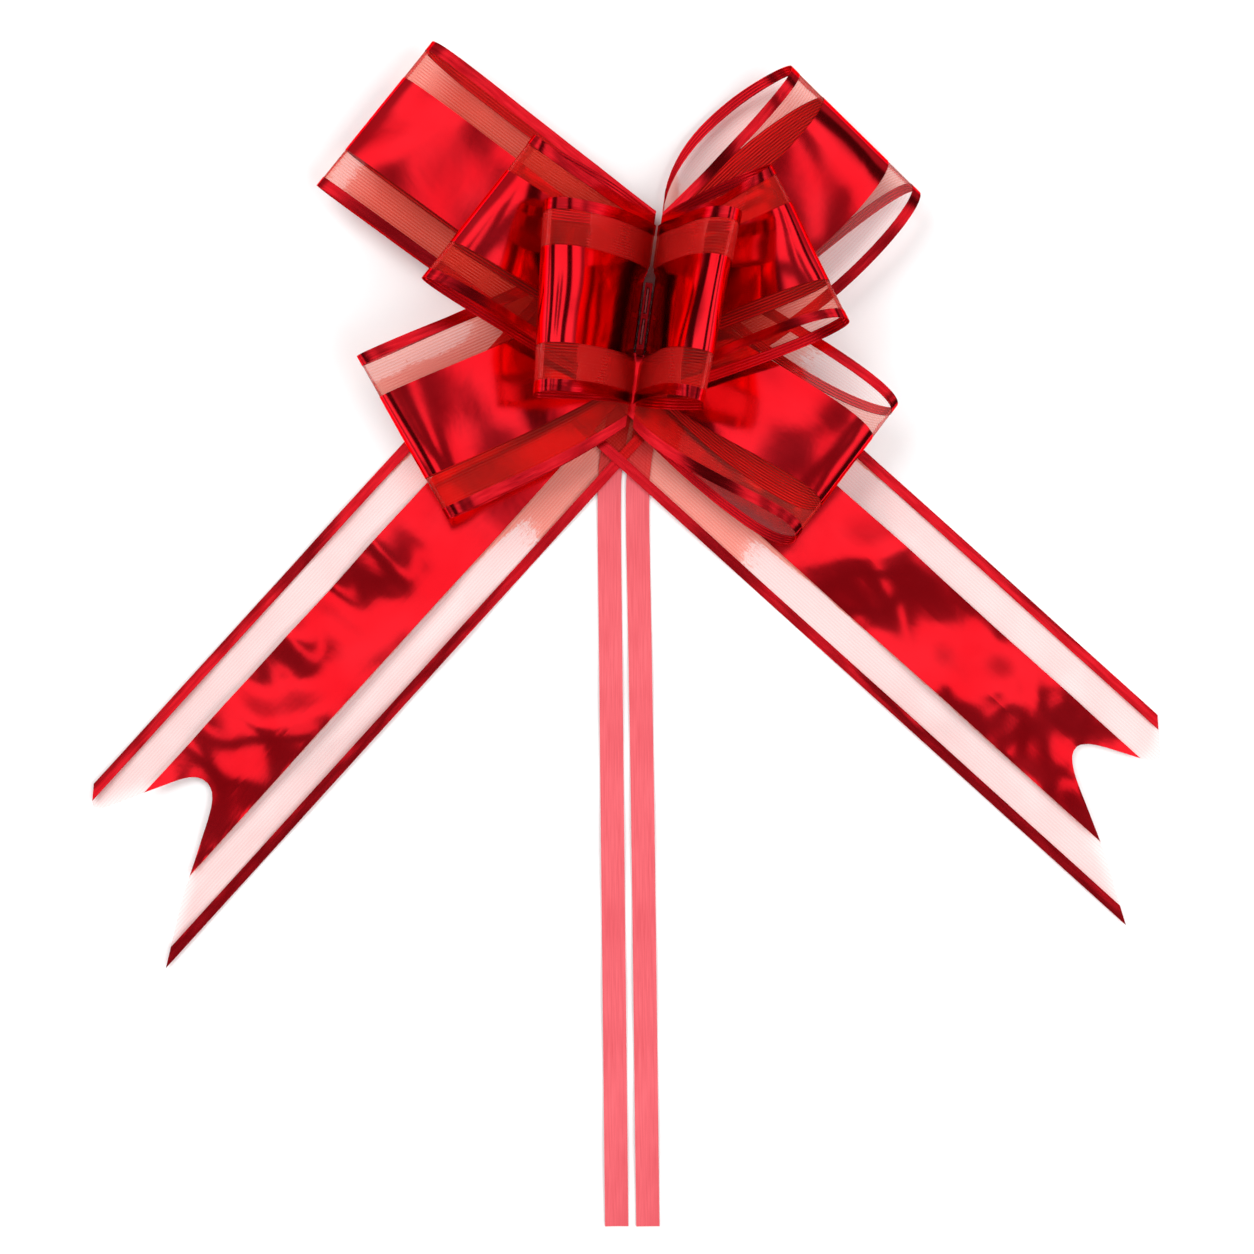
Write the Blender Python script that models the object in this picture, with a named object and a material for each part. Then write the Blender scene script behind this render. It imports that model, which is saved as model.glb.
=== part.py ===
"""Pre-made gift bow: a butterfly pull bow, gathered, lying on its back on a table.

Metres, +Z up, away from the table. +X and +Y are the table's axes. The bow's two film layers are joined
by five short seams, stacked at the middle. Between two seams each layer stands out as a loop, four loops
a side, and past the last seam it ends in a fishtailed tail. Two flat strings run through the seams and out
behind the tails.
"""

import math

import bpy
from mathutils import Vector

# --- the ribbon -----------------------------------------------------------------------------------------
RIBBON_WIDTH = 0.050
EDGE_STRIPE = 0.003      # metallised stripe along each edge
CLEAR_BAND = 0.0095      # ribbed clear film between a stripe and the foil band
FILM = 0.0003            # thickness of the carrier film solid
GAP = 0.0003             # between touching pieces
SKIN = 0.0002            # thickness of the foil and stripe solids

EDGE_SHARE = EDGE_STRIPE / RIBBON_WIDTH
BAND_SHARE = (EDGE_STRIPE + CLEAR_BAND) / RIBBON_WIDTH
FILM_LINES = [0.0, EDGE_SHARE, BAND_SHARE, 0.5, 1 - BAND_SHARE, 1 - EDGE_SHARE, 1.0]
FOIL_LINES = [BAND_SHARE, 0.5, 1 - BAND_SHARE]
CLOSEST_LINES = 0.02     # a corner of a cut gets no line of its own nearer than this share to another

# --- the seam stack -------------------------------------------------------------------------------------
SEAM_CENTRE = Vector((0.0052, 0.0523, 0.0))
SEAM_TILT = math.radians(8)               # the seams lean this far from +Y towards +X
ALONG_SEAM = Vector((math.sin(SEAM_TILT), math.cos(SEAM_TILT), 0.0))
ACROSS_SEAM = Vector((math.cos(SEAM_TILT), -math.sin(SEAM_TILT), 0.0))
SEAM_COUNT = 5                            # seam 1 is at the front, seam 5 nearest the table
SEAM_LENGTH = 0.0184
SEAM_THICKNESS = 0.0020
SEAM_HEIGHT = 0.0023
SEAM_PITCH = 0.0030
LAST_SEAM_BASE = 0.0030                   # underside of seam 5
SLOT_LENGTH = 0.0072
SLOT_WIDTH = 0.0009
SLOT_SPACING = 0.0086                     # between the centres of a seam's two slots
ROOT_OFFSET = SEAM_THICKNESS / 2 + FILM + GAP + SKIN + GAP  # loops start this far from the seam line
ROOT_SPLIT = 0.0010                       # a loop's two layers leave a seam this far above and below

# --- the pull strings -----------------------------------------------------------------------------------
STRING_WIDTH = 0.0066
STRING_THICKNESS = 0.0003
STRING_BASE = 0.0001                      # underside of the free strings, above the table
CORE_WIDTH = 0.0066
STRING_ROUTES = {
    "left": [(0.0014, 0.0435), (-0.0012, 0.0295), (-0.0040, 0.0135), (-0.0046, -0.0005),
             (-0.0042, -0.0405), (-0.0037, -0.0905), (-0.0031, -0.1455), (-0.0025, -0.2024)],
    "right": [(0.0086, 0.0435), (0.0068, 0.0295), (0.0040, 0.0135), (0.0034, -0.0005),
              (0.0041, -0.0405), (0.0049, -0.0905), (0.0056, -0.1455), (0.0063, -0.2024)],
}
STRING_STEPS = 30

# --- the loops ------------------------------------------------------------------------------------------
# Edge a is a loop's upper edge and edge b its lower one, and a pair of values is for (a, b).
# fold is the outer end of each edge and root how far along the seam line from its centre the edge leaves;
# a back layer may have a root of its own.
# Each layer, front and back, runs from root to fold as one curve per edge with two handles: share is how
# far out the near handle is, near and far are the handles' heights, and bow is how far the near handles
# stand outward in plan. crown is how far the layer arches across its width. lean tilts the fold: how far
# the edges go outward for each unit of height above it.
LOOPS = {
    "front_left": dict(
        tier=1, side=-1, fold=((-0.0215, 0.0777, 0.0440), (-0.0241, 0.0275, 0.0440)),
        root=(0.0250, -0.0245), lean=(0.0, 0.0),
        front=dict(share=0.20, near=(0.0480, 0.0480), far=(0.0760, 0.0760), bow=(-0.001, 0.0), crown=0.0015),
        back=dict(share=0.14, near=(0.0345, 0.0345), far=(0.0350, 0.0350), bow=(0.0, 0.0), crown=0.0)),
    "front_right": dict(
        tier=1, side=1, fold=((0.0303, 0.0746, 0.0440), (0.0203, 0.0243, 0.0440)),
        root=(0.0250, -0.0245), lean=(0.0, -0.03),
        front=dict(share=0.20, near=(0.0480, 0.0480), far=(0.0760, 0.0760), bow=(-0.001, -0.002), crown=0.0015),
        back=dict(share=0.14, near=(0.0345, 0.0345), far=(0.0350, 0.0350), bow=(0.0, 0.002), crown=0.0)),
    "middle_left": dict(
        tier=2, side=-1, fold=((-0.0241, 0.0981, 0.0350), (-0.0543, 0.0599, 0.0350)),
        root=(0.0290, -0.0235), lean=(-0.10, -0.10),
        front=dict(share=0.45, near=(0.0215, 0.0215), far=(0.0510, 0.0510), bow=(-0.003, -0.002), crown=0.003),
        back=dict(share=0.25, near=(0.0210, 0.0225), far=(0.0240, 0.0260), bow=(0.002, 0.002), crown=0.0)),
    "middle_right": dict(
        tier=2, side=1, fold=((0.0386, 0.0905, 0.0350), (0.0597, 0.0483, 0.0350)),
        root=(0.0290, -0.0235), lean=(-0.20, -0.25),
        front=dict(share=0.45, near=(0.0215, 0.0215), far=(0.0510, 0.0510), bow=(-0.004, -0.005), crown=0.003),
        back=dict(share=0.25, near=(0.0210, 0.0225), far=(0.0240, 0.0260), bow=(0.002, 0.003), crown=0.0)),
    "lower_left": dict(
        tier=3, side=-1, fold=((-0.0734, 0.0410, 0.0200), (-0.0490, -0.0033, 0.0135)),
        root=(0.0250, -0.0300), lean=(0.0, 0.0),
        front=dict(share=0.45, near=(0.0160, 0.0110), far=(0.0275, 0.0250), bow=(-0.001, 0.003), crown=0.0015),
        back=dict(share=0.30, near=(0.0165, 0.0082), far=(0.0165, 0.0055), bow=(0.001, 0.003), crown=0.0)),
    "lower_right": dict(
        tier=3, side=1, fold=((0.0740, 0.0273, 0.0210), (0.0464, -0.0095, 0.0160)),
        root=(0.0250, -0.0300), lean=(0.80, -0.60),
        front=dict(share=0.32, near=(0.0160, 0.0110), far=(0.0290, 0.0290), bow=(-0.002, 0.0055), crown=0.0015),
        back=dict(share=0.48, near=(0.0150, 0.0082), far=(0.0165, 0.0060), bow=(-0.0145, 0.0047), crown=0.0)),
    "upper_left": dict(
        tier=4, side=-1, fold=((-0.0536, 0.1290, 0.0110), (-0.0858, 0.0895, 0.0100)),
        root=(0.0310, -0.0250), lean=(0.10, 0.0),
        front=dict(share=0.45, near=(0.0090, 0.0060), far=(0.0220, 0.0165), bow=(0.0, 0.0), crown=0.001),
        back=dict(share=0.45, near=(0.0020, 0.0020), far=(0.0022, 0.0022), bow=(-0.002, 0.0), crown=0.0)),
    "upper_right": dict(
        tier=4, side=1, fold=((0.0454, 0.1221, 0.0130), (0.0813, 0.0878, 0.0105)),
        root=(0.0310, -0.0250), lean=(-0.35, 0.80),
        front=dict(share=0.42, near=(0.0090, 0.0060), far=(0.0270, 0.0185), bow=(-0.002, 0.0175), crown=0.002),
        back=dict(share=0.34, near=(0.0020, 0.0020), far=(0.0022, 0.0022), bow=(0.015, -0.001), crown=0.0,
                  root=(0.0340, -0.0250))),
}
LAYER_STEPS = 9          # facets along each of a loop's two layers

# --- the tails ------------------------------------------------------------------------------------------
# corner is where the tail's upper edge comes out from under the loops. heading is its direction in plan.
# Distances along a tail count from the corner, distances across it from the upper edge. root is the line
# where the film leaves the last seam and cut is the fishtail, both as (across, along) in metres.
TAILS = {
    "left": dict(
        side=-1, corner=(-0.0621, 0.0195), heading=math.radians(227.8), root_height=0.0007,
        root=[(0.0, -0.0700), (0.0206, -0.0764), (0.0309, -0.0616), (0.0500, -0.0700)],
        hinge=0.0140,
        cut=[(0.0, 0.1308), (0.0050, 0.1372), (0.0190, 0.1100), (0.0240, 0.1083), (0.0285, 0.1115),
             (0.0400, 0.1375), (0.0500, 0.1558)]),
    "right": dict(
        side=1, corner=(0.0674, 0.0167), heading=math.radians(-42.1), root_height=0.0018,
        root=[(0.0, -0.0700), (0.0071, -0.0739), (0.0219, -0.0638), (0.0500, -0.0680)],
        hinge=0.0120,
        cut=[(0.0, 0.1114), (0.0100, 0.1212), (0.0190, 0.1015), (0.0235, 0.0995), (0.0280, 0.1040),
             (0.0390, 0.1260), (0.0500, 0.1446)]),
}
TAIL_LIFT_START = -0.024  # the tail runs level over the strings up to here, then comes down to the table
TAIL_LIFT_END = 0.006
TAIL_ROOT_STEPS = 10
TAIL_END_STEPS = 6
HINGE_GAP = 0.0010        # between the fixed and the lifting part of a tail

# --- colours --------------------------------------------------------------------------------------------
FILM_RED = (0.86, 0.33, 0.32)
FOIL_RED = (0.72, 0.01, 0.03)
STRIPE_RED = (0.66, 0.01, 0.04)
SEAM_RED = (0.60, 0.03, 0.05)
STRING_RED = (0.90, 0.16, 0.20)


def clear_scene():
    for obj in list(bpy.data.objects):
        bpy.data.objects.remove(obj, do_unlink=True)


def make_material(name, colour, roughness, metallic):
    material = bpy.data.materials.new(name)
    material.use_nodes = True
    shader = material.node_tree.nodes["Principled BSDF"]
    shader.inputs["Base Color"].default_value = (*colour, 1.0)
    shader.inputs["Roughness"].default_value = roughness
    shader.inputs["Metallic"].default_value = metallic
    return material


def add_node(name, points, faces, material, origin):
    """Adds one solid as an object whose own origin is at a given point."""
    mesh = bpy.data.meshes.new(name)
    mesh.from_pydata([tuple(p - origin) for p in points], [], faces)
    mesh.validate()
    mesh.shade_smooth()
    mesh.set_sharp_from_angle(angle=math.radians(40))
    mesh.materials.append(material)
    obj = bpy.data.objects.new(name, mesh)
    obj.location = origin
    bpy.context.collection.objects.link(obj)
    return obj


def shell(rows_low, rows_high):
    """The closed solid between two grids of points of the same size.

    Every square is split along the same diagonal, so that stacked solids keep an even gap.
    """
    rows, columns = len(rows_low), len(rows_low[0])
    points = [p for row in rows_low for p in row] + [p for row in rows_high for p in row]
    layer = rows * columns
    faces = []
    for r in range(rows - 1):
        for c in range(columns - 1):
            corner = r * columns + c
            across = [corner, corner + 1, corner + columns + 1]
            along = [corner, corner + columns + 1, corner + columns]
            for triangle in (across, along):
                faces.append(triangle[::-1])
                faces.append([i + layer for i in triangle])
    rim = [c for c in range(columns)]
    rim += [r * columns + columns - 1 for r in range(1, rows)]
    rim += [(rows - 1) * columns + c for c in range(columns - 2, -1, -1)]
    rim += [r * columns for r in range(rows - 2, 0, -1)]
    for here, there in zip(rim, rim[1:] + rim[:1]):
        faces.append([here, there, there + layer, here + layer])
    return points, faces


def facing_out(points, faces):
    """The same faces, turned if need be so that they point out of the solid."""
    volume = 0.0
    for face in faces:
        first = points[face[0]]
        for a, b in zip(face[1:], face[2:]):
            volume += first.dot(points[a].cross(points[b]))
    return faces if volume > 0 else [face[::-1] for face in faces]


def add_shell(name, surface, normal, alongs, lines, low, high, material, origin):
    """Adds the solid that lies between two distances from a surface, along its normals."""
    rows_low = [[surface(u, v) + normal(u, v) * low for v in lines] for u in alongs]
    rows_high = [[surface(u, v) + normal(u, v) * high for v in lines] for u in alongs]
    points, faces = shell(rows_low, rows_high)
    return add_node(name, points, facing_out(points, faces), material, origin)


def ribbon_nodes(label, film_name, surface, normal, alongs, profile, materials, origin):
    """The film of one stretch of ribbon, with the foil band and the two edge stripes on its outer face."""
    skin_low = FILM + GAP
    skin_high = skin_low + SKIN
    for name, lines, low, high, material in (
            (film_name, FILM_LINES, 0.0, FILM, "film"),
            (f"foil_{label}", FOIL_LINES, skin_low, skin_high, "foil"),
            (f"upper_edge_{label}", [0.0, EDGE_SHARE], skin_low, skin_high, "stripe"),
            (f"lower_edge_{label}", [1 - EDGE_SHARE, 1.0], skin_low, skin_high, "stripe")):
        add_shell(name, surface, normal, alongs, with_corners(lines, profile), low, high,
                  materials[material], origin)


def with_corners(lines, profile):
    """The ribbon's own lanes with a line at each corner of the profile that falls inside them."""
    extra = [a / RIBBON_WIDTH for a, _ in profile if lines[0] < a / RIBBON_WIDTH < lines[-1]]
    merged = sorted(lines + [v for v in extra if min(abs(v - line) for line in lines) > CLOSEST_LINES])
    return merged


# --- seams ----------------------------------------------------------------------------------------------

def seam_base(number):
    """Height of the underside of a seam, counted from the front."""
    return LAST_SEAM_BASE + (SEAM_COUNT - number) * SEAM_PITCH


def seam_outline(half_along, half_across, shift):
    """Four corners of a rectangle lined up with the seam, in plan."""
    corners = [(-1, -1), (1, -1), (1, 1), (-1, 1)]
    return [SEAM_CENTRE + ALONG_SEAM * (shift + a * half_along) + ACROSS_SEAM * (b * half_across)
            for a, b in corners]


def prism(outline, low, high):
    points = [Vector((p.x, p.y, low)) for p in outline] + [Vector((p.x, p.y, high)) for p in outline]
    count = len(outline)
    faces = [list(range(count)), list(range(count, 2 * count))[::-1]]
    faces += [[i, (i + 1) % count, (i + 1) % count + count, i + count] for i in range(count)]
    return points, facing_out(points, [face[::-1] if k < 2 else face for k, face in enumerate(faces)])


def add_slot_cutters(seam, low, high):
    """Cuts the two slots that the strings run through."""
    for sign in (-1, 1):
        outline = seam_outline(SLOT_LENGTH / 2, SLOT_WIDTH / 2, sign * SLOT_SPACING / 2)
        points, faces = prism(outline, low - 0.001, high + 0.001)
        cutter = add_node(f"slot_cutter_{sign}_{seam.name}", points, faces, seam.data.materials[0],
                          Vector((0, 0, 0)))
        cutter.hide_render = True
        cutter.display_type = "WIRE"
        cut = seam.modifiers.new("slot", "BOOLEAN")
        cut.operation = "DIFFERENCE"
        cut.solver = "EXACT"
        cut.object = cutter


def add_seams(material):
    for number in range(1, SEAM_COUNT + 1):
        low = seam_base(number)
        high = low + SEAM_HEIGHT
        points, faces = prism(seam_outline(SEAM_LENGTH / 2, SEAM_THICKNESS / 2, 0.0), low, high)
        seam = add_node(f"seam_{number}", points, faces, material, Vector((0, 0, 0)))
        add_slot_cutters(seam, low, high)


# --- loops ----------------------------------------------------------------------------------------------

def bezier(p0, p1, p2, p3, t):
    s = 1 - t
    return p0 * s ** 3 + p1 * (3 * s * s * t) + p2 * (3 * s * t * t) + p3 * t ** 3


def loop_roots(loop, edge):
    """Where one edge of a loop leaves the seam above it and comes back to the seam below it."""
    beside = SEAM_CENTRE + ACROSS_SEAM * (loop["side"] * ROOT_OFFSET)
    middle = SEAM_HEIGHT / 2
    front = beside + ALONG_SEAM * loop["root"][edge]
    front.z = seam_base(loop["tier"]) + middle - ROOT_SPLIT
    back = beside + ALONG_SEAM * loop["back"].get("root", loop["root"])[edge]
    back.z = seam_base(loop["tier"] + 1) + middle + ROOT_SPLIT
    return front, back


def edge_handles(loop, edge, layer, root):
    """The two inner handles of one edge of one layer, from the root out to the fold."""
    shape = loop[layer]
    fold = Vector(loop["fold"][edge])
    outward = Vector(loop["fold"][edge]) - Vector(loop["fold"][1 - edge])
    outward = Vector((outward.x, outward.y, 0)).normalized()
    near = root.lerp(fold, shape["share"]) + outward * shape["bow"][edge]
    near.z = shape["near"][edge]
    far = fold + outward * (loop["lean"][edge] * (shape["far"][edge] - fold.z))
    far.z = shape["far"][edge]
    return near, far


def edge_point(loop, edge, along):
    """A point of one edge: along runs from 0 at the front root over the fold at 1 to 2 at the back root."""
    fold = Vector(loop["fold"][edge])
    front_root, back_root = loop_roots(loop, edge)
    if along <= 1:
        near, far = edge_handles(loop, edge, "front", front_root)
        return bezier(front_root, near, far, fold, along)
    near, far = edge_handles(loop, edge, "back", back_root)
    return bezier(back_root, near, far, fold, 2 - along)


def loop_surface(loop):
    """The inner face of a loop's film, and its outward normal, as functions of (along, across)."""
    def flat(u, v):
        return edge_point(loop, 0, u).lerp(edge_point(loop, 1, u), v)

    def direction(u, v, point):
        step = 1e-4
        u0, u1 = max(0.0, u - step), min(2.0, u + step)
        v0, v1 = max(0.0, v - step), min(1.0, v + step)
        n = (point(u1, v) - point(u0, v)).cross(point(u, v1) - point(u, v0))
        return n.normalized() * -loop["side"]

    def crowned(u, v):
        layer = "front" if u <= 1 else "back"
        swell = math.sin(math.pi * (u if u <= 1 else 2 - u)) ** 2
        height = loop[layer]["crown"] * swell * 4 * v * (1 - v)
        return flat(u, v) + direction(u, 0.5, flat) * height

    return crowned, lambda u, v: direction(u, v, crowned)


def add_loops(materials):
    steps = [math.sin(math.pi / 2 * k / LAYER_STEPS) for k in range(LAYER_STEPS + 1)]
    alongs = steps + [2 - s for s in steps[-2::-1]]
    origin = Vector((SEAM_CENTRE.x, SEAM_CENTRE.y, 0.0))
    for label, loop in LOOPS.items():
        pivot = origin + Vector((0, 0, seam_base(loop["tier"] + 1) + SEAM_HEIGHT))
        surface, normal = loop_surface(loop)
        ribbon_nodes(label, f"loop_{label}", surface, normal, alongs, [], materials, pivot)


# --- tails ----------------------------------------------------------------------------------------------

def along_at(profile, across):
    """Reads a profile of (across, along) points at one distance across the ribbon."""
    for (a0, s0), (a1, s1) in zip(profile, profile[1:]):
        if across <= a1:
            return s0 + (s1 - s0) * (across - a0) / (a1 - a0)
    return profile[-1][1]


def tail_height(tail, along):
    """Height of the film's underside: over the strings near the seam, on the table further out."""
    t = (along - TAIL_LIFT_START) / (TAIL_LIFT_END - TAIL_LIFT_START)
    t = min(1.0, max(0.0, t))
    return tail["root_height"] * (1 - t * t * (3 - 2 * t))


def tail_point(tail, along, across):
    heading = Vector((math.cos(tail["heading"]), math.sin(tail["heading"]), 0))
    sideways = Vector((-heading.y, heading.x, 0)) * (-tail["side"])
    plan = Vector((*tail["corner"], 0)) + heading * along + sideways * across
    return plan + Vector((0, 0, tail_height(tail, along)))


def tail_stretch(tail, start, end, steps, materials, label, origin):
    """One stretch of a tail between two profiles, with its foil band and stripes."""
    def surface(u, v):
        across = v * RIBBON_WIDTH
        first, last = along_at(start, across), along_at(end, across)
        return tail_point(tail, first + (last - first) * u, across)

    def up(u, v):
        return Vector((0, 0, 1))

    alongs = [k / steps for k in range(steps + 1)]
    ribbon_nodes(label, label, surface, up, alongs, start + end, materials, origin)


def add_tails(materials):
    for label, tail in TAILS.items():
        hinge_in = [(0.0, tail["hinge"] - HINGE_GAP / 2), (RIBBON_WIDTH, tail["hinge"] - HINGE_GAP / 2)]
        hinge_out = [(0.0, tail["hinge"] + HINGE_GAP / 2), (RIBBON_WIDTH, tail["hinge"] + HINGE_GAP / 2)]
        pivot = tail_point(tail, tail["hinge"], RIBBON_WIDTH / 2)
        tail_stretch(tail, tail["root"], hinge_in, TAIL_ROOT_STEPS, materials, f"tail_root_{label}",
                     Vector((0, 0, 0)))
        tail_stretch(tail, hinge_out, tail["cut"], TAIL_END_STEPS, materials, f"tail_{label}", pivot)


# --- strings --------------------------------------------------------------------------------------------

def smooth_route(points, steps):
    """Points at even steps of a Catmull-Rom curve through the route."""
    knots = [Vector((*p, 0)) for p in points]
    knots = [knots[0] * 2 - knots[1]] + knots + [knots[-1] * 2 - knots[-2]]
    route = []
    spans = len(knots) - 3
    for k in range(steps + 1):
        position = k / steps * spans
        span = min(int(position), spans - 1)
        t = position - span
        p0, p1, p2, p3 = knots[span:span + 4]
        route.append(0.5 * (2 * p1 + (p2 - p0) * t + (2 * p0 - 5 * p1 + 4 * p2 - p3) * t * t
                            + (3 * p1 - p0 - 3 * p2 + p3) * t ** 3))
    return route


def add_free_string(label, material):
    """The free length of one string, flat on the table from under the last seam to its cut end."""
    route = smooth_route(STRING_ROUTES[label], STRING_STEPS)

    def surface(u, v):
        k = round(u * STRING_STEPS)
        before, after = route[max(0, k - 1)], route[min(STRING_STEPS, k + 1)]
        heading = (after - before).normalized()
        sideways = Vector((-heading.y, heading.x, 0))
        return route[k] + sideways * (v - 0.5) * STRING_WIDTH + Vector((0, 0, STRING_BASE))

    def up(u, v):
        return Vector((0, 0, 1))

    alongs = [k / STRING_STEPS for k in range(STRING_STEPS + 1)]
    add_shell(f"pull_string_{label}", surface, up, alongs, [0.0, 1.0], 0.0, STRING_THICKNESS, material,
              Vector((0, 0, 0)))


def add_string_core(label, sign, material):
    """The drawn-in stretch of one string, standing in the slots of the seams up to the front one."""
    outline = seam_outline(CORE_WIDTH / 2, STRING_THICKNESS / 2, sign * SLOT_SPACING / 2)
    points, faces = prism(outline, LAST_SEAM_BASE + 0.0002, seam_base(1) + SEAM_HEIGHT)
    add_node(f"string_core_{label}", points, faces, material, Vector((0, 0, 0)))


def build():
    clear_scene()
    materials = {
        "film": make_material("clear_film", FILM_RED, 0.25, 0.0),
        "foil": make_material("red_foil", FOIL_RED, 0.18, 1.0),
        "stripe": make_material("edge_stripe", STRIPE_RED, 0.30, 0.8),
    }
    add_seams(make_material("heat_seam", SEAM_RED, 0.45, 0.1))
    add_loops(materials)
    add_tails(materials)
    string_material = make_material("pull_string", STRING_RED, 0.40, 0.0)
    for label, sign in (("left", 1), ("right", -1)):
        add_free_string(label, string_material)
        add_string_core(label, sign, string_material)


build()
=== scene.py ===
"""How the gift bow looks: film, foil, stripes, strings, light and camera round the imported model.

Metres, in the frame of the CAD model: +Z away from the table, +X and +Y along it.
"""

import math

import bpy
import numpy as np
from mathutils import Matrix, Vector


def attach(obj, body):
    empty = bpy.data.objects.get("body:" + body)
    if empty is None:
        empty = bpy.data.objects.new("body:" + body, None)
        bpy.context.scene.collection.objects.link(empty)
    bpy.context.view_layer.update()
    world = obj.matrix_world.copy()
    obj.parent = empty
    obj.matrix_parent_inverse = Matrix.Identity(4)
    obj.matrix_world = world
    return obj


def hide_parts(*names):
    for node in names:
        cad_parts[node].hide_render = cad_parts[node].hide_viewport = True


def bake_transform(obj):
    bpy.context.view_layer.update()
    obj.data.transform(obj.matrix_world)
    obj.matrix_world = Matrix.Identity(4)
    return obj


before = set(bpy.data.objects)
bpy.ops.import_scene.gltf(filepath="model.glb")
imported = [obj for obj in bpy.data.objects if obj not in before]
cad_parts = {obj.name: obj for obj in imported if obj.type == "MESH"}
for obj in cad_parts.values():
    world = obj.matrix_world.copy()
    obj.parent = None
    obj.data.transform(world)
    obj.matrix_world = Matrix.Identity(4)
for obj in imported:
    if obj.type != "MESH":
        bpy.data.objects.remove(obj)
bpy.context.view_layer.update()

# --- the ribbon -----------------------------------------------------------------------------------------
RIBBON_WIDTH = 0.050
EDGE_STRIPE = 0.003
CLEAR_BAND = 0.0095
FILM = 0.00012           # thickness of the carrier film
SKIN_LOW = 0.00017       # foil and stripes lie on the film's outer face between these two heights
SKIN_HIGH = 0.00023
RIB_PITCH = 0.00080      # distance between the fine lengthwise ribs in the film
STRIPE_COLUMNS, CLEAR_COLUMNS, FOIL_COLUMNS = 3, 8, 18
SHARP_ANGLE = math.radians(50)
WAVE_COUNT = 7           # waves that make up the crinkles of a piece

# --- the seam stack -------------------------------------------------------------------------------------
SEAM_CENTRE = np.array((0.0052, 0.0523, 0.0))
SEAM_TILT = math.radians(8)
ALONG_SEAM = np.array((math.sin(SEAM_TILT), math.cos(SEAM_TILT), 0.0))
ACROSS_SEAM = np.array((math.cos(SEAM_TILT), -math.sin(SEAM_TILT), 0.0))
SEAM_COUNT = 5
SEAM_HEIGHT = 0.0023
SEAM_PITCH = 0.0030
LAST_SEAM_BASE = 0.0030

# how far the film's roots stand to the side of the seam line, and how high
ROOT_BEYOND = 0.0010     # beyond the ends of a seam
ROOT_BESIDE = 0.0020     # beside a seam
FIRST_BEYOND = 0.0005    # the foremost layer, beyond the ends of a seam
FIRST_BESIDE = 0.0018    # the foremost layer, beside a seam
FIRST_RISE = 0.0006      # the foremost layer's height over the front seam
ROOT_SPLIT = 0.0010      # a layer's height over or under the middle of its seam
BESIDE_SHARE = 0.40      # share of a layer's length over which it comes back from beside the seam
BESIDE_REACH = 0.0140    # distance from the seam's middle at which a root counts as beyond it
BESIDE_BLEND = 0.0035    # distance over which it goes from beside to beyond

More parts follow.
